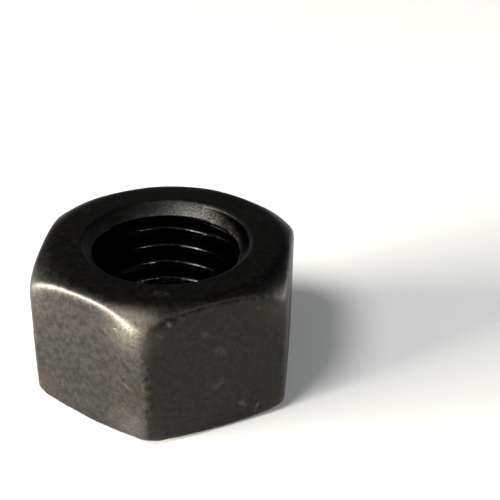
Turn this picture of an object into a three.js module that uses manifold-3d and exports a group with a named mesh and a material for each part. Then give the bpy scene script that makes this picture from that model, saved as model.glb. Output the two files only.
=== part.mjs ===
// Hex nut with a coarse metric thread: one piece of forged, tapped and blackened steel.
// Millimetres, +Z up. The origin is the middle of the bottom face, on the thread's axis.
// Two corners lie on the X axis, and two wrench flats face +Y and -Y.
import * as THREE from "three";
import { mergeVertices } from "three/addons/utils/BufferGeometryUtils.js";
import Module from "manifold-3d";

// Driving dimensions of the forged blank.
const ACROSS_FLATS = 36;
const NUT_HEIGHT = 21.5;
const EDGE_RADIUS = 1.1; // rounding of the six upright edges
const SIDES = 6;

// Each end has a flat bearing face, a shallow cone round it and a rounded rim at the corners.
// faceInset is how far the bearing face's edge stands in from the wrench flats.
const TOP_END = { faceInset: 0.9, chamferDegrees: 27, rimRadius: 4 };
const BOTTOM_END = { faceInset: 1, chamferDegrees: 15, rimRadius: 1.5 };

// Right-hand metric thread.
const THREAD_MAJOR = 24;
const THREAD_PITCH = 3;
const THREAD_ANGLE_DEGREES = 60;
const MINOR_ALLOWANCE = 0.15; // the tapped hole is this much over the basic minor diameter
const ROOT_FLAT = THREAD_PITCH / 8;

// The countersinks lead the bolt in.
const COUNTERSINK_CLEARANCE = 0.15; // mouth radius beyond the thread's major radius
const COUNTERSINK_ANGLE_DEGREES = 90;

// Cutters run past what they cut, so that no two faces coincide.
const CUT_OVERRUN = 1;
const RIM_CLEARANCE = 0.05; // the turned rim stands this far outside the rounded corners

// Facets.
const THREAD_SEGMENTS = 40; // round the bore, and in each turn of the thread
const TURNED_SEGMENTS = 72; // round the two ends
const RIM_STEPS = 5; // along each rounded rim
const EDGE_STEPS = 4; // round each upright edge

const STEEL = new THREE.MeshStandardMaterial({ color: 0x2e2b28, roughness: 0.55, metalness: 0.85 });

const radians = THREE.MathUtils.degToRad;

// Sizes that follow from the ones above.
const flatRadius = ACROSS_FLATS / 2;
const edgeCentre = (flatRadius - EDGE_RADIUS) / Math.cos(Math.PI / SIDES);
const cornerReach = edgeCentre + EDGE_RADIUS;
const flankSlope = Math.tan(radians(THREAD_ANGLE_DEGREES / 2));
const sharpThreadHeight = THREAD_PITCH / (2 * flankSlope);
const majorRadius = THREAD_MAJOR / 2;
const basicMinorRadius = majorRadius - (5 / 8) * sharpThreadHeight;
const boreRadius = basicMinorRadius + MINOR_ALLOWANCE / 2;
const countersinkMouth = majorRadius + COUNTERSINK_CLEARANCE;
const countersinkSlope = Math.tan(radians(COUNTERSINK_ANGLE_DEGREES / 2));

// A six-sided bar with rounded upright edges, longer than the nut at both ends.
function hexBar() {
  const outline = new THREE.Shape();
  for (let side = 0; side < SIDES; side++) {
    const angle = (side * 2 * Math.PI) / SIDES;
    const half = Math.PI / SIDES;
    const x = edgeCentre * Math.cos(angle);
    const y = edgeCentre * Math.sin(angle);
    outline.absarc(x, y, EDGE_RADIUS, angle - half, angle + half, false);
  }
  const depth = NUT_HEIGHT + 2 * CUT_OVERRUN;
  const bar = new THREE.ExtrudeGeometry(outline, { depth, bevelEnabled: false, curveSegments: EDGE_STEPS });
  return bar.translate(0, 0, -CUT_OVERRUN);
}

// One end's outline from its bearing face out to its upright wall, as [radius, depth below the face].
function endProfile(end) {
  const slope = radians(end.chamferDegrees);
  const wall = cornerReach + RIM_CLEARANCE;
  const faceRadius = flatRadius - end.faceInset;
  const coneRadius = wall - end.rimRadius * (1 - Math.sin(slope));
  const coneDepth = (coneRadius - faceRadius) * Math.tan(slope);
  const centreDepth = coneDepth + end.rimRadius * Math.cos(slope);
  const points = [[faceRadius, 0]];
  for (let step = 0; step <= RIM_STEPS; step++) {
    const turn = (Math.PI / 2 - slope) * (1 - step / RIM_STEPS);
    const radius = wall - end.rimRadius * (1 - Math.cos(turn));
    points.push([radius, centreDepth - end.rimRadius * Math.sin(turn)]);
  }
  return points;
}

// The turned shape that trims the bar: both bearing faces, cones and rounded rims.
function turnedEnvelope() {
  const bottom = endProfile(BOTTOM_END).map(([radius, depth]) => new THREE.Vector2(radius, depth));
  const top = endProfile(TOP_END).map(([radius, depth]) => new THREE.Vector2(radius, NUT_HEIGHT - depth));
  const profile = [new THREE.Vector2(0, 0), ...bottom, ...top.reverse(), new THREE.Vector2(0, NUT_HEIGHT)];
  return uprightLathe(profile, TURNED_SEGMENTS);
}

// The tapping-size hole with a countersink at each end.
function boreCutter() {
  const sinkDepth = (countersinkMouth - boreRadius) / countersinkSlope;
  const mouth = countersinkMouth + CUT_OVERRUN * countersinkSlope;
  const profile = [
    new THREE.Vector2(0, -CUT_OVERRUN),
    new THREE.Vector2(mouth, -CUT_OVERRUN),
    new THREE.Vector2(boreRadius, sinkDepth),
    new THREE.Vector2(boreRadius, NUT_HEIGHT - sinkDepth),
    new THREE.Vector2(mouth, NUT_HEIGHT + CUT_OVERRUN),
    new THREE.Vector2(0, NUT_HEIGHT + CUT_OVERRUN),
  ];
  return uprightLathe(profile, THREAD_SEGMENTS);
}

// A lathe turns its profile about Y, so it is stood up along Z afterwards.
function uprightLathe(profile, segments) {
  return new THREE.LatheGeometry(profile, segments).rotateX(Math.PI / 2);
}

// The path of the tap's tooth: a right-hand helix about Z, with frames that stay square to the axis.
class ThreadPath extends THREE.Curve {
  constructor(radius, pitch, start, turns) {
    super();
    Object.assign(this, { radius, pitch, start, turns });
  }

  getPoint(t, target = new THREE.Vector3()) {
    const angle = 2 * Math.PI * this.turns * t;
    const height = this.start + this.pitch * this.turns * t;
    return target.set(this.radius * Math.cos(angle), this.radius * Math.sin(angle), height);
  }

  computeFrenetFrames(segments) {
    const frames = { tangents: [], normals: [], binormals: [] };
    for (let step = 0; step <= segments; step++) {
      const angle = (2 * Math.PI * this.turns * step) / segments;
      frames.tangents.push(new THREE.Vector3(-Math.sin(angle), Math.cos(angle), 0));
      frames.normals.push(new THREE.Vector3(0, 0, 1));
      frames.binormals.push(new THREE.Vector3(Math.cos(angle), Math.sin(angle), 0));
    }
    return frames;
  }
}

// The space that a tap cuts: a 60 degree tooth with a flat tip, run up the bore along the helix.
// In the tooth's section x lies along the axis and y points outwards, from the bore's radius.
function threadGroove() {
  const tip = majorRadius - boreRadius;
  const base = -CUT_OVERRUN / 4;
  const halfTip = ROOT_FLAT / 2;
  const halfBase = halfTip + (tip - base) * flankSlope;
  const tooth = new THREE.Shape();
  tooth.moveTo(-halfBase, base);
  tooth.lineTo(halfBase, base);
  tooth.lineTo(halfTip, tip);
  tooth.lineTo(-halfTip, tip);
  const turns = Math.ceil(NUT_HEIGHT / THREAD_PITCH) + 2;
  const path = new ThreadPath(boreRadius, THREAD_PITCH, -THREAD_PITCH, turns);
  const steps = turns * THREAD_SEGMENTS;
  return new THREE.ExtrudeGeometry(tooth, { steps, bevelEnabled: false, extrudePath: path });
}

// Closed solids for cutting and joining, and back to geometry for showing.
const kernel = await Module();
kernel.setup();

function solid(geometry) {
  const bare = geometry.clone();
  bare.deleteAttribute("normal");
  bare.deleteAttribute("uv");
  const welded = mergeVertices(bare, 1e-5);
  const mesh = new kernel.Mesh({
    numProp: 3,
    vertProperties: new Float32Array(welded.attributes.position.array),
    triVerts: new Uint32Array(welded.index.array),
  });
  return new kernel.Manifold(mesh);
}

function geometryOf(manifold) {
  const mesh = manifold.getMesh();
  const geometry = new THREE.BufferGeometry();
  geometry.setAttribute("position", new THREE.BufferAttribute(mesh.vertProperties, 3));
  geometry.setIndex(new THREE.BufferAttribute(mesh.triVerts, 1));
  geometry.computeVertexNormals();
  return geometry;
}

function makeNut() {
  const blank = solid(hexBar()).intersect(solid(turnedEnvelope()));
  const bored = blank.subtract(solid(boreCutter()));
  const tapped = bored.subtract(solid(threadGroove()));
  const nut = new THREE.Mesh(geometryOf(tapped), STEEL);
  nut.name = "hex_nut";
  return nut;
}

const part = new THREE.Group();
part.add(makeNut());

export default part;
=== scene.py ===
"""A blackened, hot-forged steel hex nut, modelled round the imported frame."""

import logging
import math
import random
from dataclasses import dataclass, field
from enum import Enum

import bmesh
import bpy
import numpy as np
from mathutils import Matrix, Vector, noise


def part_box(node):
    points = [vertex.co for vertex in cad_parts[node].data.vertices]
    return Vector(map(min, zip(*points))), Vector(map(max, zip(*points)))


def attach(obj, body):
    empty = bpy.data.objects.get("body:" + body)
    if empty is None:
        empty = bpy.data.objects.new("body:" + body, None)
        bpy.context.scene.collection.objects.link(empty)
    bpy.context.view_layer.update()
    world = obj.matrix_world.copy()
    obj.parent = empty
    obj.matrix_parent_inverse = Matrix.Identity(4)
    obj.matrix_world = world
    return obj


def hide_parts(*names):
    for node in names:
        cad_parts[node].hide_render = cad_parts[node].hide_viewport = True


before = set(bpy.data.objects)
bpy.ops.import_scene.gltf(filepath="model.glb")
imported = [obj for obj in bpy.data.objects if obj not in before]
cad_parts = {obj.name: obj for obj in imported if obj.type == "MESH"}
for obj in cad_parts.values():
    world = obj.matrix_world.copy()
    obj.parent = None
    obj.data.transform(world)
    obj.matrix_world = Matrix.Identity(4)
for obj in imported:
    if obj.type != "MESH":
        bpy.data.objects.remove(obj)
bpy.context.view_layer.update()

LOG = logging.getLogger("hex_nut")
NODE = "hex_nut"
MM = 0.001  # meshes are shaped in millimetres, then brought to metres
UP = Vector((0, 0, 1))
SIDES = 6
CORNER_TURN = 2 * math.pi / SIDES  # between one upright edge and the next
TINY = 1e-9  # keeps a division from failing at a centre


class Mark(Enum):
    """What the mesh says of each of its points, for the material to read."""

    EDGE = "edge_mm"  # distance to the nearest edge that rubs bare, in millimetres
    RUB = "rub"  # how near a knocked corner it lies, 0 to 1
    FRESH = "fresh"  # steel laid bare by a nick, 0 to 1
    SINK_AND_PAINTED_SHEEN = "sink"  # how much paler cut colour the countersinks get, 0 to 1; the most is a painted highlight at the back of the top one
    BORE = "bore"  # 1 in the thread


class Cut(Enum):
    """What one solid does to another."""

    REMOVE = "DIFFERENCE"
    KEEP_COMMON = "INTERSECT"


# ---------------------------------------------------------------- mesh helpers


def to_object(name: str, bm: bmesh.types.BMesh) -> bpy.types.Object:
    """Makes an object of a bmesh, with its normals pointing outwards, and frees the bmesh.

    Args:
        name: the object's name.
        bm: a closed shape in millimetres.

    Returns:
        The new object, in the scene.
    """
    bmesh.ops.remove_doubles(bm, verts=bm.verts[:], dist=1e-5)
    bmesh.ops.recalc_face_normals(bm, faces=bm.faces[:])
    if bm.calc_volume(signed=True) < 0:
        bmesh.ops.reverse_faces(bm, faces=bm.faces[:])
    mesh = bpy.data.meshes.new(name)
    bm.to_mesh(mesh)
    bm.free()
    obj = bpy.data.objects.new(name, mesh)
    bpy.context.scene.collection.objects.link(obj)
    return obj


def bake_modifiers(obj: bpy.types.Object) -> None:
    """Swaps an object's mesh for the one its modifiers make, and drops the modifiers.

    Args:
        obj: the object, which is changed.
    """
    graph = bpy.context.evaluated_depsgraph_get()
    made = bpy.data.meshes.new_from_object(obj.evaluated_get(graph))
    obj.modifiers.clear()
    obj.data = made


def cut(obj: bpy.types.Object, tool: bpy.types.Object, how: Cut) -> None:
    """Cuts obj with tool, and removes the tool.

    Args:
        obj: the solid that stays.
        tool: the solid that cuts it.
        how: what the tool does.
    """
    boolean = obj.modifiers.new("cut", "BOOLEAN")
    boolean.operation = how.value
    boolean.solver = "MANIFOLD"
    boolean.object = tool
    bake_modifiers(obj)
    bpy.data.objects.remove(tool)


def turned(name: str, outline: list[tuple[float, float]], steps: int) -> bpy.types.Object:
    """Turns an outline about the Z axis into a closed solid.

    Args:
        name: the object's name.
        outline: (radius, height) points in millimetres, both ends on the axis.
        steps: facets round the axis.

    Returns:
        The turned solid.
    """
    bm = bmesh.new()
    verts = [bm.verts.new((radius, 0, height)) for radius, height in outline]
    edges = [bm.edges.new(pair) for pair in zip(verts, verts[1:])]
    bmesh.ops.spin(
        bm, geom=[*verts, *edges], cent=(0, 0, 0), axis=UP, dvec=(0, 0, 0),
        angle=2 * math.pi, steps=steps, use_merge=True, use_duplicate=False,
    )
    return to_object(name, bm)


def places_of(mesh: bpy.types.Mesh) -> np.ndarray:
    """Where a mesh's vertices are.

    Args:
        mesh: the mesh, which is only read.

    Returns:
        One row of three coordinates for each vertex.
    """
    flat = np.empty(len(mesh.vertices) * 3)
    mesh.vertices.foreach_get("co", flat)
    return flat.reshape(-1, 3)


def towards(bearing: float, elevation: float = 0.0) -> Vector:
    """The direction at a bearing from the X axis and an elevation, both in degrees."""
    turn, rise = math.radians(bearing), math.radians(elevation)
    return Vector((math.cos(turn) * math.cos(rise), math.sin(turn) * math.cos(rise), math.sin(rise)))


def swing_from(bearing: np.ndarray, x: np.ndarray, y: np.ndarray) -> np.ndarray:
    """How far each point lies round from a bearing, in radians, up to half a turn either way."""
    return (np.arctan2(y, x) - bearing + math.pi) % (2 * math.pi) - math.pi


def pull_to(radius: np.ndarray, away: np.ndarray, picked: np.ndarray) -> np.ndarray:
    """The factor on its distance that brings each picked point in to a radius, if it lies beyond it."""
    return np.where(picked & (away > radius), radius / np.maximum(away, TINY), 1.0)


def distance_to_line(x: np.ndarray, y: np.ndarray, line: np.ndarray) -> np.ndarray:
    """Distance from each point to a line of straight stretches.

    Args:
        x: the points' first coordinates.
        y: the points' second coordinates.
        line: the line's corners, one row each.

    Returns:
        The distances.
    """
    best = np.full_like(x, np.inf)
    for start, end in zip(line, line[1:]):
        along = end - start
        share = ((x - start[0]) * along[0] + (y - start[1]) * along[1]) / (along @ along)
        share = np.clip(share, 0, 1)
        best = np.minimum(best, np.hypot(x - start[0] - share * along[0], y - start[1] - share * along[1]))
    return best


# ---------------------------------------------------------------- the nut


@dataclass
class NutEnd:
    """One end of the nut: a flat bearing face, a shallow cone and a rounded rim, in millimetres."""

    face_inset: float
    chamfer_degrees: float
    rim_radius: float
    rim_steps: int = 12

    def outline(self, flat_radius: float, wall: float) -> list[tuple[float, float]]:
        """The end's half section, from the bearing face's edge out to the upright wall.

        Args:
            flat_radius: half the size across flats.
            wall: radius of the turned wall.

        Returns:
            (radius, depth below the bearing face) points.
        """
        slope = math.radians(self.chamfer_degrees)
        face_radius = flat_radius - self.face_inset
        cone_radius = wall - self.rim_radius * (1 - math.sin(slope))
        cone_depth = (cone_radius - face_radius) * math.tan(slope)
        centre_depth = cone_depth + self.rim_radius * math.cos(slope)
        points = [(face_radius, 0.0)]
        for step in range(self.rim_steps + 1):
            turn = (math.pi / 2 - slope) * (1 - step / self.rim_steps)
            radius = wall - self.rim_radius * (1 - math.cos(turn))
            points.append((radius, centre_depth - self.rim_radius * math.sin(turn)))
        return points


@dataclass
class MetricThread:
    """A right-hand metric thread and the countersinks that lead into it, in millimetres."""

    major: float = 24.0
    pitch: float = 3.0
    flank_degrees: float = 30.0  # between each flank and the radius
    minor_allowance: float = 0.15
    eased_share: float = 0.12  # of each flank, at its crest and at its root
    crest_easing: float = 0.02
    root_easing: float = 0.03
    countersink_clearance: float = 0.15
    countersink_degrees: float = 90.0
    mouth_round: float = 0.35  # the unit of the stops
    mouth_stops: tuple[tuple[float, float], ...] = ((1.6, 0.1), (0.5, -0.2), (-0.3, -0.7))  # out and up
    mouth_overlap: float = 1.75
    tip_inset: float = 0.5
    turn_steps: int = 120
    overrun: float = 1.0

    @property
    def bore_radius(self) -> float:
        """Radius of the tapped hole at the thread's crests."""
        sharp_height = self.pitch / (2 * math.tan(math.radians(self.flank_degrees)))
        return (self.major - 1.25 * sharp_height + self.minor_allowance) / 2  # 5/8 of it off each side

    @property
    def mouth_radius(self) -> float:
        """Radius of each countersink at the bearing face."""
        return self.major / 2 + self.countersink_clearance

    def tooth_outline(self) -> list[tuple[float, float]]:
        """One pitch of the thread's wall.

        Returns:
            (radius, height) points from the middle of one crest to the next.
        """
        root = self.major / 2
        depth = root - self.bore_radius
        half_root = self.pitch / 16  # a root is an eighth of the pitch wide
        flank = depth * math.tan(math.radians(self.flank_degrees))
        half_crest = self.pitch / 2 - half_root - flank
        ease = self.eased_share
        stops = (  # share of the flank, and how far the wall stands out from it
            (ease * 0.5, self.crest_easing), (ease * 1.4, 0.0), (0.4, 0.0), (0.65, 0.0),
            (1 - ease * 1.4, 0.0), (1 - ease * 0.5, -self.root_easing),
        )
        half = [(self.bore_radius, half_crest * 0.5), (self.bore_radius, half_crest * 0.82)]
        for share, stand_off in stops:
            half.append((self.bore_radius + depth * share + stand_off, half_crest + flank * share))
        half.append((root, self.pitch / 2 - half_root * 0.4))
        other = [(radius, self.pitch - height) for radius, height in reversed(half)]
        return [(self.bore_radius, 0.0), *half, (root, self.pitch / 2), *other]

    def tap(self, height: float) -> bpy.types.Object:
        """The solid that a tap sweeps, running past both ends of the nut.

        Args:
            height: the nut's height.

        Returns:
            A closed solid whose wall is the thread.
        """
        bm = bmesh.new()
        levels = range(-2, math.ceil(height / self.pitch) + 2)
        crests = [(level - 0.5) * self.pitch for level in levels]  # so a root starts on the X axis
        points = [(radius, crest + z) for crest in crests for radius, z in self.tooth_outline()]
        verts = [bm.verts.new((radius, 0, z)) for radius, z in points]
        edges = [bm.edges.new(pair) for pair in zip(verts, verts[1:])]
        bmesh.ops.spin(
            bm, geom=[*verts, *edges], cent=(0, 0, 0), axis=UP, dvec=(0, 0, self.pitch / self.turn_steps),
            angle=2 * math.pi, steps=self.turn_steps, use_duplicate=False,
        )
        bmesh.ops.remove_doubles(bm, verts=bm.verts[:], dist=1e-4)
        for level, above in ((-self.overrun, False), (height + self.overrun, True)):
            bmesh.ops.bisect_plane(
                bm, geom=[*bm.verts, *bm.edges, *bm.faces], dist=1e-6, plane_co=(0, 0, level),
                plane_no=UP, clear_outer=above, clear_inner=not above,
            )
        bmesh.ops.holes_fill(bm, edges=[edge for edge in bm.edges if edge.is_boundary], sides=0)
        return to_object("tap", bm)

    def countersink(self, face: float, way: int) -> bpy.types.Object:
        """The cone that opens one end of the bore.

        Args:
            face: height of the bearing face.
            way: 1 for a face that looks up, -1 for one that looks down.

        Returns:
            A closed cone with its mouth eased into the face.
        """
        ease = self.mouth_round
        mouth = [(self.mouth_radius + out * ease, up * ease) for out, up in self.mouth_stops]
        tip = self.bore_radius - self.tip_inset
        foot = -(self.mouth_radius - tip) / math.tan(math.radians(self.countersink_degrees / 2))
        outline = [
            (0.0, self.overrun), (self.mouth_radius + self.mouth_overlap, self.overrun), *mouth,
            (tip, foot), (0.0, foot),
        ]
        return turned("countersink", [(r, face + way * z) for r, z in outline], self.turn_steps)


@dataclass
class Relief:
    """One size of unevenness that forging and handling leave, in millimetres."""

    size: float
    depth: float

    def depth_at(self, place: Vector) -> float:
        """How far the surface lies below nominal there: never less than nothing."""
        return self.depth * (0.5 + 0.5 * noise.noise(place / self.size))


@dataclass(frozen=True)
class Nick:
    """A knock or a scratch: a shallow groove from one point to another, in millimetres."""

    start: Vector
    end: Vector
    width: float
    depth: float
    fresh: float = 1.0  # how much of the oxide it took off

    def share_at(self, places: np.ndarray) -> np.ndarray:
        """How deep in the groove each place lies.

        Args:
            places: the points, one row each.

        Returns:
            From 0 outside the groove to 1 along its middle.
        """
        start, along = np.array(self.start), np.array(self.end - self.start)
        share = np.clip((places - start) @ along / max(along @ along, TINY), 0, 1)
        away = np.linalg.norm(places - start - share[:, None] * along, axis=1)
        return np.clip(1 - (away / self.width) ** 2, 0, 1) ** 2


@dataclass(frozen=True)
class Knock:
    """How hard one of the nut's corners has been knocked, and on which side."""

    blunting: float
    rub: float
    off_degrees: float = 0.0  # bearing of its middle, from the corner's own


@dataclass
class Handling:
    """The knocks and scratches of a nut that was shipped loose in a keg, in millimetres."""

    flat_radius: float
    height: float
    count: int = 45
    seed: int = 11
    side_share: float = 0.7  # of the scattered ones, those on the flats
    shortest: float = 0.1
    length_rate: float = 2.0  # one over the mean length beyond the shortest
    end_margin: float = 1.0
    face_band: tuple[float, float] = (12.5, 17.0)  # from the axis
    widths: tuple[float, float] = (0.16, 0.34)
    depths: tuple[float, float] = (0.02, 0.09)
    freshness: tuple[float, float] = (0.05, 0.4)

    def on_side(self, bearing: float, height: float) -> Vector:
        """The point of the flats at a bearing in degrees and a height."""
        off_middle = (math.radians(bearing) % CORNER_TURN) - CORNER_TURN / 2
        return self.on_end(bearing, self.flat_radius / math.cos(off_middle), height)

    def on_end(self, bearing: float, reach: float, height: float) -> Vector:
        """The point of an end at a bearing in degrees and a distance from the axis."""
        turn = math.radians(bearing)
        return Vector((reach * math.cos(turn), reach * math.sin(turn), height))

    def nicks(self) -> list[Nick]:
        """Every knock and scratch, the same ones each time."""
        return self.placed() + self.scattered()

    def placed(self) -> list[Nick]:
        """The knocks and scratches that show most.

        Returns:
            Those on the top face, those by the knocked corner, then those further down the flats.
        """
        top = self.height
        return [
            Nick(self.on_end(241.6, 14.5, top), self.on_end(243.2, 14.5, top), 0.60, 0.20),
            Nick(self.on_end(245.8, 14.5, top), self.on_end(247.2, 14.5, top), 0.60, 0.14, 0.6),
            Nick(self.on_end(211.0, 14.6, top), self.on_end(221.0, 14.3, top), 0.22, 0.03, 0.25),
            Nick(self.on_end(225.0, 13.0, top), self.on_end(231.0, 12.8, top), 0.22, 0.03, 0.25),
            Nick(self.on_side(247.6, 20.4), self.on_side(249.3, 19.4), 0.40, 0.10),
            Nick(self.on_side(244.6, 18.2), self.on_side(246.0, 17.9), 0.60, 0.10, 0.15),
            Nick(self.on_side(226.4, 18.2), self.on_side(226.9, 18.0), 0.30, 0.12, 0.7),
            Nick(self.on_side(264.0, 16.8), self.on_side(265.2, 16.2), 0.80, 0.03, 0.12),
            Nick(self.on_side(270.2, 13.6), self.on_side(272.4, 13.0), 1.00, 0.03, 0.14),
            Nick(self.on_side(268.8, 7.6), self.on_side(271.4, 8.1), 0.90, 0.03, 0.14),
            Nick(self.on_side(281.0, 3.6), self.on_side(283.2, 2.9), 0.45, 0.12, 0.5),
            Nick(self.on_side(287.7, 1.6), self.on_side(288.7, 2.5), 0.30, 0.12, 0.8),
        ]

    def scattered(self) -> list[Nick]:
        """The slighter ones, all over the flats and both faces.

        Returns:
            As many as count says, the same ones each time.
        """
        dice = random.Random(self.seed)
        marks = []
        for _ in range(self.count):
            bearing = dice.uniform(0, 360)
            length = self.shortest + dice.expovariate(self.length_rate)
            way = Vector((dice.gauss(0, 1), dice.gauss(0, 1), dice.gauss(0, 1))).normalized()
            if dice.random() < self.side_share:
                start = self.on_side(bearing, dice.uniform(self.end_margin, self.height - self.end_margin))
                out = towards(bearing)
            else:
                start = self.on_end(bearing, dice.uniform(*self.face_band), dice.choice((0.0, self.height)))
                out = UP
            along = (way - out * way.dot(out)).normalized() * length
            spans = (self.widths, self.depths, self.freshness)
            width, depth, fresh = (dice.uniform(*span) for span in spans)
            marks.append(Nick(start, start + along, width, depth, fresh))
        return marks


@dataclass
class HexNut:
    """The forged and tapped nut, in millimetres, standing on its bottom face."""

    across_flats: float
    height: float
    edge_radius: float = 1.1
    edge_segments: int = 8
    wall_clearance: float = 0.05
    wall_facets: int = 240
    overrun: float = 1.0
    top: NutEnd = field(default_factory=lambda: NutEnd(0.9, 27.0, 4.0))
    bottom: NutEnd = field(default_factory=lambda: NutEnd(1.0, 15.0, 1.5))
    thread: MetricThread = field(default_factory=MetricThread)
    grid: float = 0.27
    crease_degrees: float = 35.0
    reliefs: tuple[Relief, ...] = (Relief(9.0, 0.06), Relief(2.4, 0.025), Relief(0.8, 0.02))

    # how its corners have been knocked, from bearing 0 by 60 degrees
    knocks: tuple[Knock, ...] = (
        Knock(0.3, 0.5), Knock(0.5, 0.7), Knock(0.3, 0.45),
        Knock(0.1, 0.3), Knock(1.0, 1.0, -8.0), Knock(0.3, 0.35),
    )
    blunt_growth: float = 0.6  # what a full knock adds to the edge's radius for each millimetre up
    blunt_from: float = 12.5  # the height where it begins
    blunt_ball: float = 3.2  # what it adds to the rim's radius
    blunt_span: float = 22.0  # degrees either side of a knock's middle that it reaches

    # passes of smoothing that ease the edges; each stage by the knocks works from a rub of its own
    bottom_passes: int = 3
    top_passes: int = 24
    knocked_passes: tuple[tuple[int, float], ...] = ((28, 0.12), (32, 0.25), (36, 0.4))

    # how far it has rubbed the corners
    rub_reach: float = 3.2
    rub_inset: float = 0.6
    rub_below_top: float = 3.0
    rub_above_foot: float = 2.0
    foot_rub: float = 0.5  # against 1 at the top

    # narrower strips rub bare at these edges, so they count as further off
    upright_weight: float = 1.1
    face_weight: float = 2.5
    crest_weight: float = 2.0

    # the stretch at the back of the top countersink that is painted paler, a painted highlight where the
    # light falls: bearings, and the degrees over which it fades
    painted_sheen_stretch: tuple[float, float] = (18.0, 86.0)
    painted_sheen_fades: tuple[float, float] = (6.0, 24.0)
    foot_clean: float = 0.5
    scaled_share: float = 0.2

    # how softly the marks of the countersinks and of the thread begin
    mouth_margin: float = 0.1
    mouth_blend: float = 0.3
    thread_blend: float = 0.4

    @property
    def flat_radius(self) -> float:
        """Half the size across flats."""
        return self.across_flats / 2

    @property
    def wall(self) -> float:
        """Radius just outside the rounded corners."""
        corner_centre = (self.flat_radius - self.edge_radius) / math.cos(CORNER_TURN / 2)
        return corner_centre + self.edge_radius + self.wall_clearance

    @property
    def nicks(self) -> list[Nick]:
        """The knocks and scratches that it carries."""
        return Handling(self.flat_radius, self.height).nicks()

    def hex_bar(self) -> bpy.types.Object:
        """Makes the bar that the nut is cut from.

        Returns:
            A six-sided bar with rounded upright edges, longer than the nut.
        """
        bm = bmesh.new()
        reach = self.flat_radius / math.cos(CORNER_TURN / 2)
        bmesh.ops.create_cone(
            bm, cap_ends=True, segments=SIDES, radius1=reach, radius2=reach,
            depth=self.height + 2 * self.overrun,
        )
        bmesh.ops.rotate(bm, verts=bm.verts[:], matrix=Matrix.Rotation(CORNER_TURN / 2, 3, "Z"))
        bmesh.ops.translate(bm, verts=bm.verts[:], vec=UP * (self.height / 2))
        upright = [e for e in bm.edges if abs((e.verts[0].co - e.verts[1].co).z) > self.overrun]
        bmesh.ops.bevel(
            bm, geom=upright, offset=self.edge_radius * math.tan(CORNER_TURN / 2),
            segments=self.edge_segments, profile=0.5, material=-1, affect="EDGES",
        )
        return to_object("forged_nut", bm)

    def envelope(self) -> bpy.types.Object:
        """Makes the turned shape that gives both ends their faces, cones and rims.

        Returns:
            A closed solid as high as the nut.
        """
        low = self.bottom.outline(self.flat_radius, self.wall)
        high = self.top.outline(self.flat_radius, self.wall)
        outline = [(0.0, 0.0), *low, *((r, self.height - d) for r, d in reversed(high)), (0.0, self.height)]
        return turned("envelope", outline, self.wall_facets)

    def blunt_corners(self, nut: bpy.types.Object) -> None:
        """Rounds each top corner, and the upright edge below it, as far as it has been knocked.

        Args:
            nut: the blank, which is changed.
        """
        places = places_of(nut.data)
        x, y, z = places.T
        nearest = np.round(np.arctan2(y, x) / CORNER_TURN).astype(int)
        corner = nearest * CORNER_TURN
        blunt = np.array([knock.blunting for knock in self.knocks])[nearest % SIDES]
        off = np.radians([knock.off_degrees for knock in self.knocks])[nearest % SIDES]

        # the upright edge, in plan: a rounding that grows towards the top
        edge = self.edge_radius + blunt * self.blunt_growth * np.maximum(z - self.blunt_from, 0)
        reach = (self.flat_radius - edge) / math.cos(CORNER_TURN / 2)
        off_x, off_y = x - reach * np.cos(corner), y - reach * np.sin(corner)
        at_corner = np.abs(swing_from(corner, off_x, off_y)) < CORNER_TURN / 2
        pull = pull_to(edge, np.hypot(off_x, off_y), at_corner)
        x += off_x * (pull - 1)
        y += off_y * (pull - 1)

        # the rim above it, in section: a larger radius, fading out towards the middle of each flat
        radius = np.hypot(x, y)
        share = np.clip((swing_from(corner, x, y) - off) / math.radians(self.blunt_span), -1, 1)
        fade = np.cos(math.pi / 2 * share) ** 2
        ball = self.top.rim_radius + self.blunt_ball * blunt * fade
        slope = math.radians(self.top.chamfer_degrees)
        middle = self.wall - ball
        face_radius = self.flat_radius - self.top.face_inset
        drop = (ball - (face_radius - middle) * math.sin(slope)) / math.cos(slope)
        off_r, off_z = radius - middle, z - (self.height - drop)
        beyond_cone = (off_z > 0) & (off_r > off_z * math.tan(slope))
        pull = pull_to(ball, np.hypot(off_r, off_z), beyond_cone)
        inward = 1 + off_r * (pull - 1) / np.maximum(radius, TINY)
        x *= inward
        y *= inward
        z += off_z * (pull - 1)
        nut.data.vertices.foreach_set("co", places.ravel())

    def ease_edges(self, nut: bpy.types.Object) -> None:
        """Takes the sharpness off every edge: a little below, more above, and most where it was knocked.

        Args:
            nut: the blank, which is changed.
        """
        bm = bmesh.new()
        bm.from_mesh(nut.data)
        rub = self.near_corners(np.array([vert.co[:] for vert in bm.verts]))
        upper = [vert for vert in bm.verts if vert.co.z > self.height / 2]
        stages = [(self.bottom_passes, bm.verts[:]), (self.top_passes, upper)]
        for passes, start in self.knocked_passes:
            stages.append((passes, [vert for vert, share in zip(bm.verts, rub) if share > start]))
        done = 0
        for passes, verts in stages:
            for _ in range(passes - done):
                bmesh.ops.smooth_vert(
                    bm, verts=verts, factor=0.5, use_axis_x=True, use_axis_y=True, use_axis_z=True,
                )
            done = passes
        bm.to_mesh(nut.data)
        bm.free()

    def forge_surface(self, nut: bpy.types.Object) -> None:
        """Sinks the blank's surface unevenly, as forging scale and knocks do, and never raises it.

        Args:
            nut: the blank, which is changed.
        """
        bm = bmesh.new()
        bm.from_mesh(nut.data)
        bm.normal_update()
        places = np.array([vert.co[:] for vert in bm.verts])
        dents = sum(nick.depth * nick.share_at(places) for nick in self.nicks)
        sunk = [
            vert.co - vert.normal * (dent + sum(relief.depth_at(vert.co) for relief in self.reliefs))
            for vert, dent in zip(bm.verts, dents)
        ]
        for vert, place in zip(bm.verts, sunk):
            vert.co = place
        bm.to_mesh(nut.data)
        bm.free()

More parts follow.
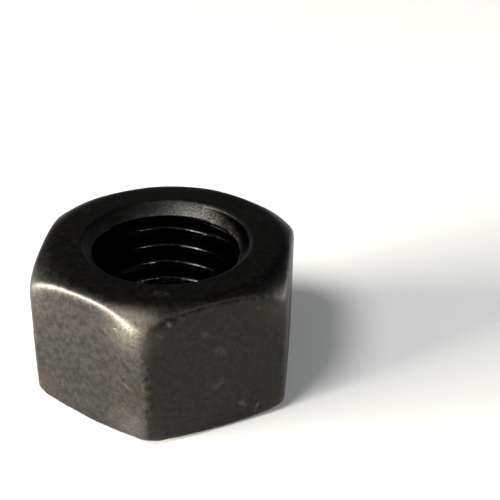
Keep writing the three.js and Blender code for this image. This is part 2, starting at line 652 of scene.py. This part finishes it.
    def mark(self, nut: bpy.types.Object) -> None:
        """Stores what the material reads of each vertex: its edges, corners, nicks and bore.

        Args:
            nut: the tapped nut, which gets an attribute for each Mark.
        """
        places = places_of(nut.data)
        x, y, z = places.T
        radius = np.hypot(x, y)
        from_end = np.minimum(z, self.height - z)
        inside = np.clip((self.thread.mouth_radius + self.mouth_margin - radius) / self.mouth_blend, 0, 1)
        threaded = np.clip((from_end + radius - self.thread.mouth_radius) / self.thread_blend, 0, 1)
        marks = {
            Mark.EDGE: self.edge_distance(x, y, z),
            Mark.RUB: self.near_corners(places),
            Mark.FRESH: self.fresh_steel(places),
            # the countersinks, weighted most on the painted highlight at the back of the top one
            Mark.SINK_AND_PAINTED_SHEEN: inside * (1 - threaded) * self.painted_sheen_on_sink(x, y, z),
            Mark.BORE: inside * threaded,
        }
        for mark, values in marks.items():
            attribute = nut.data.attributes.new(mark.value, "FLOAT", "POINT")
            attribute.data.foreach_set("value", values.astype(np.float32))

    def painted_sheen_on_sink(self, x: np.ndarray, y: np.ndarray, z: np.ndarray) -> np.ndarray:
        """How much paler cut colour the countersinks get: most on a stretch at the back of the top one, a
        painted highlight where the light falls.

        Args:
            x: the points' first coordinates.
            y: the points' second coordinates.
            z: the points' heights.

        Returns:
            1 on the stretch of the top that carries the painted highlight, down to the share given
            elsewhere.
        """
        start, end = self.painted_sheen_stretch
        rise, fall = self.painted_sheen_fades
        bearing = np.degrees(np.arctan2(y, x)) % 360
        paler = np.clip((bearing - start) / rise, 0, 1) * np.clip((end - bearing) / fall, 0, 1)
        paler[z < self.height / 2] = self.foot_clean
        return self.scaled_share + (1 - self.scaled_share) * paler

    def edge_distance(self, x: np.ndarray, y: np.ndarray, z: np.ndarray) -> np.ndarray:
        """Distance to the nearest edge that rubs bare.

        Args:
            x: the points' first coordinates.
            y: the points' second coordinates.
            z: the points' heights.

        Returns:
            The distances: to the flats' arcs, the upright edges, the faces' rims and the thread's crests.
        """
        radius = np.hypot(x, y)
        middles = CORNER_TURN / 2 * (2 * np.arange(SIDES) + 1)
        flats = self.flat_radius - (np.outer(x, np.cos(middles)) + np.outer(y, np.sin(middles)))
        flats.sort(axis=1)
        rim = np.full_like(radius, np.inf)
        face_edge = np.full_like(radius, np.inf)
        for end, face, way in ((self.top, self.height, -1), (self.bottom, 0.0, 1)):
            outline = np.array(end.outline(self.flat_radius, self.wall))
            depth = way * (z - face)
            rim = np.minimum(rim, distance_to_line(radius, depth, outline[1:]))
            face_edge = np.minimum(face_edge, np.hypot(radius - outline[0][0], depth))
        arcs = np.hypot(np.maximum(flats[:, 0], 0), rim)
        upright = np.hypot(flats[:, 0], flats[:, 1])
        crests = np.abs(radius - self.thread.bore_radius)
        return np.minimum.reduce([
            arcs, upright * self.upright_weight, face_edge * self.face_weight, crests * self.crest_weight,
        ])

    def near_corners(self, places: np.ndarray) -> np.ndarray:
        """How rubbed each place is for lying near a corner of the nut.

        Args:
            places: the points.

        Returns:
            The greatest rub at each point, 0 to 1.
        """
        nearest = np.zeros(len(places))
        out = self.wall - self.rub_inset
        levels = ((self.height - self.rub_below_top, 1.0), (self.rub_above_foot, self.foot_rub))
        for corner, knock in enumerate(self.knocks):
            turn = corner * CORNER_TURN + math.radians(knock.off_degrees)
            for height, share in levels:
                point = np.array((out * math.cos(turn), out * math.sin(turn), height))
                away = np.linalg.norm(places - point, axis=1)
                nearest = np.maximum(nearest, share * knock.rub * np.exp(-((away / self.rub_reach) ** 2)))
        return nearest

    def fresh_steel(self, places: np.ndarray) -> np.ndarray:
        """How bare the nicks leave each place, 0 to 1."""
        return np.maximum.reduce([nick.fresh * nick.share_at(places) for nick in self.nicks])

    def build(self) -> bpy.types.Object:
        """Forges, trims, bores and taps the nut.

        Returns:
            The finished nut, in metres.
        """
        nut = self.hex_bar()
        cut(nut, self.envelope(), Cut.KEEP_COMMON)
        remesh = nut.modifiers.new("grid", "REMESH")
        remesh.mode = "VOXEL"
        remesh.voxel_size = self.grid
        bake_modifiers(nut)
        self.blunt_corners(nut)
        self.ease_edges(nut)
        self.forge_surface(nut)
        LOG.info("forged blank: %d faces", len(nut.data.polygons))
        cut(nut, self.thread.tap(self.height), Cut.REMOVE)
        cut(nut, self.thread.countersink(self.height, 1), Cut.REMOVE)
        cut(nut, self.thread.countersink(0.0, -1), Cut.REMOVE)
        self.mark(nut)
        nut.data.transform(Matrix.Scale(MM, 4))
        for polygon in nut.data.polygons:
            polygon.use_smooth = True
        nut.data.set_sharp_from_angle(angle=math.radians(self.crease_degrees))
        return nut


# ---------------------------------------------------------------- materials


def linear(colour: str) -> tuple[float, float, float, float]:
    """An sRGB hex colour, such as "#2a2622", as linear RGBA."""
    channels = [int(colour[i:i + 2], 16) / 255 for i in (1, 3, 5)]
    return (*(c / 12.92 if c <= 0.04045 else ((c + 0.055) / 1.055) ** 2.4 for c in channels), 1.0)


def add(tree: bpy.types.NodeTree, kind: str, settings: dict | None = None, out: int | str = 0,
        **inputs) -> bpy.types.NodeSocket | None:
    """Adds a node, sets its properties and fills or links its inputs.

    Args:
        tree: the node tree.
        kind: the node's type, without its ShaderNode prefix.
        settings: properties by name.
        out: the output that is wanted, by place or name.
        inputs: values, or sockets to link from, by input name, or _0, _1... by place.

    Returns:
        The wanted output, or None for a node that has none.
    """
    node = tree.nodes.new("ShaderNode" + kind)
    for name, value in (settings or {}).items():
        setattr(node, name, value)
    for name, value in inputs.items():
        socket = node.inputs[int(name[1:])] if name.startswith("_") else node.inputs[name.replace("_", " ")]
        if isinstance(value, bpy.types.NodeSocket):
            tree.links.new(value, socket)
        else:
            socket.default_value = value
    return node.outputs[out] if node.outputs else None


COLOUR = {"data_type": "RGBA"}  # a Mix node that mixes colours, by its inputs 6 and 7 into output 2
EASED = {"interpolation_type": "SMOOTHSTEP"}
TIMES = {"operation": "MULTIPLY"}
LARGER = {"operation": "MAXIMUM"}


@dataclass(frozen=True)
class BlackenedForgedSteel:
    """Hot-forged medium-carbon steel, blackened in an oxide bath and oiled.

    The skin is a near-black metal, finely mottled by forging scale, with a faint brown where it is
    thin. Handling burnishes it at the corners and along the edges, and knocks and nicks lay specks
    of grey steel bare. The countersinks are coarsely cut and paler; a stretch at the back of the top
    one is painted paler still, a painted highlight where the light falls. The tapped thread is smooth
    and oily.
    """

    oxide: str = "#242424"
    pale_oxide: str = "#343332"
    brown: str = "#2e2723"
    burnished: str = "#58564f"
    bare: str = "#a5a196"
    cut: str = "#666763"
    # cut steel on the countersinks; at full strength it is the painted highlight at the back of the top one
    thread: str = "#1d1d1d"
    oxide_roughness: float = 0.45
    burnished_roughness: float = 0.46
    bare_roughness: float = 0.6
    thread_roughness: float = 0.19
    blotch_mm: float = 7.0
    mottle_mm: float = 0.9
    grain_mm: float = 0.35
    strip_mm: float = 1.2
    speck_mm: float = 0.4
    brown_mm: float = 4.0

    def make(self) -> bpy.types.Material:
        """Builds the node tree.

        Returns:
            The material.
        """
        material = bpy.data.materials.new("blackened_forged_steel")
        material.use_nodes = True
        tree = material.node_tree
        tree.nodes.clear()
        metres = add(tree, "TexCoord", out="Object")
        place = add(tree, "Mapping", Vector=metres, Scale=(1 / MM, 1 / MM, 1 / MM))
        blotch = add(tree, "TexNoise", Vector=place, Scale=1 / self.blotch_mm, Detail=3.0, Roughness=0.6)
        mottle = add(tree, "TexNoise", Vector=place, Scale=1 / self.mottle_mm, Detail=4.0, Roughness=0.65)
        grain = add(tree, "TexNoise", Vector=place, Scale=1 / self.grain_mm, Detail=2.0, Roughness=0.6)
        marks = {mark: add(tree, "Attribute", {"attribute_name": mark.value}, out="Fac") for mark in Mark}

        burnish = self.burnish(tree, marks, mottle, grain)
        bare = self.bare_specks(tree, marks, mottle, grain)
        polished = linear(self.burnished)
        skin = self.skin(tree, marks[Mark.EDGE], blotch, mottle)
        colour = add(tree, "Mix", COLOUR, 2, Factor=burnish, _6=skin, _7=polished)
        # paler cut steel on the countersinks; the full amount, at the back of the top one, is a painted
        # highlight
        torn = add(tree, "MapRange", Value=grain, From_Min=0.35, From_Max=0.65, To_Min=0.3, To_Max=1.0)
        torn = add(tree, "Math", TIMES, _0=torn, _1=marks[Mark.SINK_AND_PAINTED_SHEEN])
        colour = add(tree, "Mix", COLOUR, 2, Factor=torn, _6=colour, _7=linear(self.cut))
        thread = add(tree, "Mix", COLOUR, 2, Factor=burnish, _6=linear(self.thread), _7=polished)
        colour = add(tree, "Mix", COLOUR, 2, Factor=marks[Mark.BORE], _6=colour, _7=thread)
        colour = add(tree, "Mix", COLOUR, 2, Factor=bare, _6=colour, _7=linear(self.bare))

        rough = add(tree, "MapRange", Value=mottle, From_Min=0.3, From_Max=0.7,
                    To_Min=self.oxide_roughness - 0.05, To_Max=self.oxide_roughness + 0.05)
        rough = add(tree, "Mix", Factor=burnish, _2=rough, _3=self.burnished_roughness)
        rough = add(tree, "Mix", Factor=bare, _2=rough, _3=self.bare_roughness)
        rough = add(tree, "Mix", Factor=marks[Mark.BORE], _2=rough, _3=self.thread_roughness)
        shader = add(tree, "BsdfPrincipled", Base_Color=colour, Metallic=1.0, Roughness=rough,
                     Normal=self.fine_relief(tree, marks, mottle, grain))
        add(tree, "OutputMaterial", Surface=shader)
        return material

    def skin(self, tree: bpy.types.NodeTree, edge: bpy.types.NodeSocket, blotch: bpy.types.NodeSocket,
             mottle: bpy.types.NodeSocket) -> bpy.types.NodeSocket:
        """The oxide's own colour: black, a shade paler in fine mottles and browner towards the edges.

        Args:
            tree: the material's tree.
            edge: distance to the nearest edge, in millimetres.
            blotch: the broad pattern.
            mottle: the fine pattern.

        Returns:
            The colour.
        """
        pale = add(tree, "MapRange", Value=mottle, From_Min=0.35, From_Max=0.7)
        black = add(tree, "Mix", COLOUR, 2, Factor=pale, _6=linear(self.oxide), _7=linear(self.pale_oxide))
        near = add(tree, "MapRange", EASED, Value=edge, From_Min=self.brown_mm, From_Max=0.0, To_Min=0.2)
        cloud = add(tree, "MapRange", Value=blotch, From_Min=0.45, From_Max=0.65, To_Max=0.8)
        thin = add(tree, "Math", TIMES, _0=near, _1=cloud)
        return add(tree, "Mix", COLOUR, 2, Factor=thin, _6=black, _7=linear(self.brown))

    def burnish(self, tree: bpy.types.NodeTree, marks: dict[Mark, bpy.types.NodeSocket],
                mottle: bpy.types.NodeSocket, grain: bpy.types.NodeSocket) -> bpy.types.NodeSocket:
        """Where handling has polished the oxide thin: the corners and a strip at each edge.

        Args:
            tree: the material's tree.
            marks: what the mesh says of its edges and corners.
            mottle: the pattern that breaks the strips up.
            grain: the pattern that the oxide left in the pores makes.

        Returns:
            How burnished the steel is, 0 to 1.
        """
        strip = add(tree, "MapRange", EASED, Value=marks[Mark.EDGE], From_Min=self.strip_mm, From_Max=0.0)
        patches = add(tree, "MapRange", Value=mottle, From_Min=0.4, From_Max=0.65, To_Min=0.0, To_Max=0.55)
        broken = add(tree, "Math", TIMES, _0=strip, _1=patches)
        most = add(tree, "Math", LARGER, _0=broken, _1=marks[Mark.RUB])
        left = add(tree, "MapRange", Value=grain, From_Min=0.35, From_Max=0.6, To_Min=0.45, To_Max=1.0)
        return add(tree, "Math", TIMES, _0=most, _1=left)

    def bare_specks(self, tree: bpy.types.NodeTree, marks: dict[Mark, bpy.types.NodeSocket],
                    mottle: bpy.types.NodeSocket, grain: bpy.types.NodeSocket) -> bpy.types.NodeSocket:
        """Where steel shows: specks along the edges, and the nicks.

        Args:
            tree: the material's tree.
            marks: what the mesh says of its edges and nicks.
            mottle: the pattern that spaces the specks.
            grain: the pattern that roughens the nicks.

        Returns:
            How bare the steel is, 0 to 1.
        """
        line = add(tree, "MapRange", EASED, Value=marks[Mark.EDGE], From_Min=self.speck_mm, From_Max=0.0)
        sparse = add(tree, "MapRange", Value=marks[Mark.RUB], From_Max=0.4, To_Min=0.56, To_Max=0.46)
        spots = add(tree, "MapRange", Value=mottle, From_Min=sparse, From_Max=0.66, To_Max=0.45)
        specks = add(tree, "Math", TIMES, _0=line, _1=spots)
        torn = add(tree, "MapRange", Value=grain, From_Min=0.4, From_Max=0.6, To_Min=0.1, To_Max=0.6)
        nicks = add(tree, "Math", TIMES, _0=marks[Mark.FRESH], _1=torn)
        return add(tree, "Math", LARGER, _0=specks, _1=nicks)

    def fine_relief(self, tree: bpy.types.NodeTree, marks: dict[Mark, bpy.types.NodeSocket],
                    mottle: bpy.types.NodeSocket, grain: bpy.types.NodeSocket) -> bpy.types.NodeSocket:
        """Roughness too fine for the mesh: scale and grain, stronger where the tool cut the countersinks.

        Args:
            tree: the material's tree.
            marks: what the mesh says of its countersinks and bore.
            mottle: the forging scale.
            grain: the grain.

        Returns:
            The bumped normal.
        """
        calm = add(tree, "MapRange", Value=marks[Mark.BORE], To_Min=0.6, To_Max=0.05)
        coarse = add(tree, "Bump", Strength=calm, Distance=0.03 * MM, Height=mottle)
        chatter = add(tree, "MapRange", Value=marks[Mark.SINK_AND_PAINTED_SHEEN], To_Min=0.025 * MM, To_Max=0.16 * MM)
        return add(tree, "Bump", Strength=calm, Distance=chatter, Height=grain, Normal=coarse)


# ---------------------------------------------------------------- studio


def shine(lamp: bpy.types.Light, target: Vector, out: Vector, distance: float) -> bpy.types.Object:
    """Puts a lamp in the scene, looking at a target.

    Args:
        lamp: the lamp's own settings.
        target: the point that it looks at.
        out: direction from there to the lamp.
        distance: how far off it hangs, in metres.

    Returns:
        The lamp's object.
    """
    obj = bpy.data.objects.new(lamp.name, lamp)
    obj.location = target + out * distance
    obj.rotation_euler = (-out).to_track_quat("-Z", "Y").to_euler()
    bpy.context.scene.collection.objects.link(obj)
    return obj


@dataclass(frozen=True)
class SoftBox:
    """A rectangular lamp that looks at the nut. Its place is given in degrees, its sizes in metres."""

    name: str
    bearing: float
    elevation: float
    distance: float
    width: float
    height: float
    watts: float
    colour: str = "#ffffff"

    def hang(self, target: Vector) -> None:
        """Adds the lamp to the scene, out of the camera's sight.

        Args:
            target: the point that it looks at.
        """
        lamp = bpy.data.lights.new(self.name, "AREA")
        lamp.shape = "RECTANGLE"
        lamp.size, lamp.size_y = self.width, self.height
        lamp.energy = self.watts
        lamp.color = linear(self.colour)[:3]
        obj = shine(lamp, target, towards(self.bearing, self.elevation), self.distance)
        obj.visible_camera = False


@dataclass
class Studio:
    """A plain pale floor, soft lamps and the camera. Sizes are in metres, angles in degrees."""

    low: Vector
    high: Vector
    lamps: tuple[SoftBox, ...] = (
        SoftBox("key", 172, 5, 0.7, 0.5, 0.12, 44.0, "#fff6e8"),  # low on the left, for the left face
        SoftBox("back_fill", 350, 6, 0.5, 0.35, 0.08, 1.3),  # low behind, for the sides away from the key
        SoftBox("front_fill", 291, 45, 0.5, 0.15, 0.15, 0.4),  # for glints along the right arc
        SoftBox("overhead", 244, 82, 0.5, 0.25, 0.25, 0.12),  # for the rim over the knocked corner
    )
    floor_colour: str = "#eef0f1"
    floor_radius: float = 3.0
    sky: str = "#f2f1ee"
    gloom: float = 0.008  # of the room that the metal mirrors, overhead
    low_wall: float = 0.4  # and at the floor
    daylight: float = 1.85
    daylight_bearing: float = 198
    daylight_elevation: float = 52
    daylight_spread: float = 20
    daylight_colour: str = "#fffdfa"
    lens_mm: float = 74.75
    camera_bearing: float = 244.09
    camera_elevation: float = 30.015
    camera_roll: float = 0.995
    camera_distance: float = 0.150

    # the point that the camera looks at, from the middle of the top face
    aim: Vector = field(default_factory=lambda: Vector((0.010751, -0.005104, -0.001668)))

    def build(self) -> None:
        """Adds the floor, lamps, surroundings and camera."""
        self.floor()
        self.surroundings()
        self.window()
        for lamp in self.lamps:
            lamp.hang((self.low + self.high) / 2)
        self.camera()

    def window(self) -> None:
        """Soft daylight from the left and above, which lights the floor and the rubbed corner."""
        daylight = bpy.data.lights.new("window", "SUN")
        daylight.energy = self.daylight
        daylight.angle = math.radians(self.daylight_spread)
        daylight.color = linear(self.daylight_colour)[:3]
        shine(daylight, Vector(), towards(self.daylight_bearing, self.daylight_elevation), 0.0)

    def floor(self) -> None:
        """A broad pale disc at the nut's foot."""
        bm = bmesh.new()
        bmesh.ops.create_circle(bm, cap_ends=True, segments=96, radius=self.floor_radius)
        bmesh.ops.translate(bm, verts=bm.verts[:], vec=(0, 0, self.low.z))
        obj = to_object("floor", bm)
        material = bpy.data.materials.new("pale_card")
        material.use_nodes = True
        shader = material.node_tree.nodes["Principled BSDF"]
        shader.inputs["Base Color"].default_value = linear(self.floor_colour)
        shader.inputs["Roughness"].default_value = 0.9
        shader.inputs["Specular IOR Level"].default_value = 0.1
        obj.data.materials.append(material)

    def surroundings(self) -> None:
        """A pale backdrop to look at, and a dim room for the metal to mirror."""
        world = bpy.data.worlds.new("studio")
        bpy.context.scene.world = world
        world.use_nodes = True
        tree = world.node_tree
        tree.nodes.clear()
        seen = add(tree, "LightPath", out="Is Camera Ray")
        rise = add(tree, "SeparateXYZ", out="Z", Vector=add(tree, "TexCoord", out="Generated"))
        dimming = add(tree, "MapRange", Value=rise, From_Min=0.0, From_Max=0.3,
                      To_Min=self.low_wall, To_Max=self.gloom)
        room = add(tree, "Background", Color=(1, 1, 1, 1), Strength=dimming)
        backdrop = add(tree, "Background", Color=linear(self.sky), Strength=1.0)
        add(tree, "OutputWorld", Surface=add(tree, "MixShader", _0=seen, _1=room, _2=backdrop))

    def camera(self) -> None:
        """Sets the camera up in front of the nut's left corner, looking down on it."""
        back = towards(self.camera_bearing, self.camera_elevation)
        top_centre = Vector((0, 0, self.high.z))
        lens = bpy.data.cameras.new("camera")
        lens.lens = self.lens_mm
        lens.clip_start, lens.clip_end = 0.01, 10.0
        obj = bpy.data.objects.new("camera", lens)
        obj.location = top_centre + self.aim + back * self.camera_distance
        level = (-back).to_track_quat("-Z", "Y").to_matrix()
        obj.rotation_euler = (level @ Matrix.Rotation(math.radians(self.camera_roll), 3, "Z")).to_euler()
        bpy.context.scene.collection.objects.link(obj)
        bpy.context.scene.camera = obj


def main() -> None:
    """Builds the nut and its studio."""
    logging.basicConfig(level=logging.INFO, format="%(message)s")
    low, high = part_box(NODE)
    Studio(low, high).build()
    nut = HexNut((high.y - low.y) / MM, (high.z - low.z) / MM)
    piece = nut.build()
    piece.data.materials.clear()
    piece.data.materials.append(BlackenedForgedSteel().make())
    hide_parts(NODE)
    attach(piece, "root")
    LOG.info("%s: %d faces", NODE, len(piece.data.polygons))
    bpy.context.scene.view_settings.view_transform = "Standard"


if __name__ == "__main__":
    main()
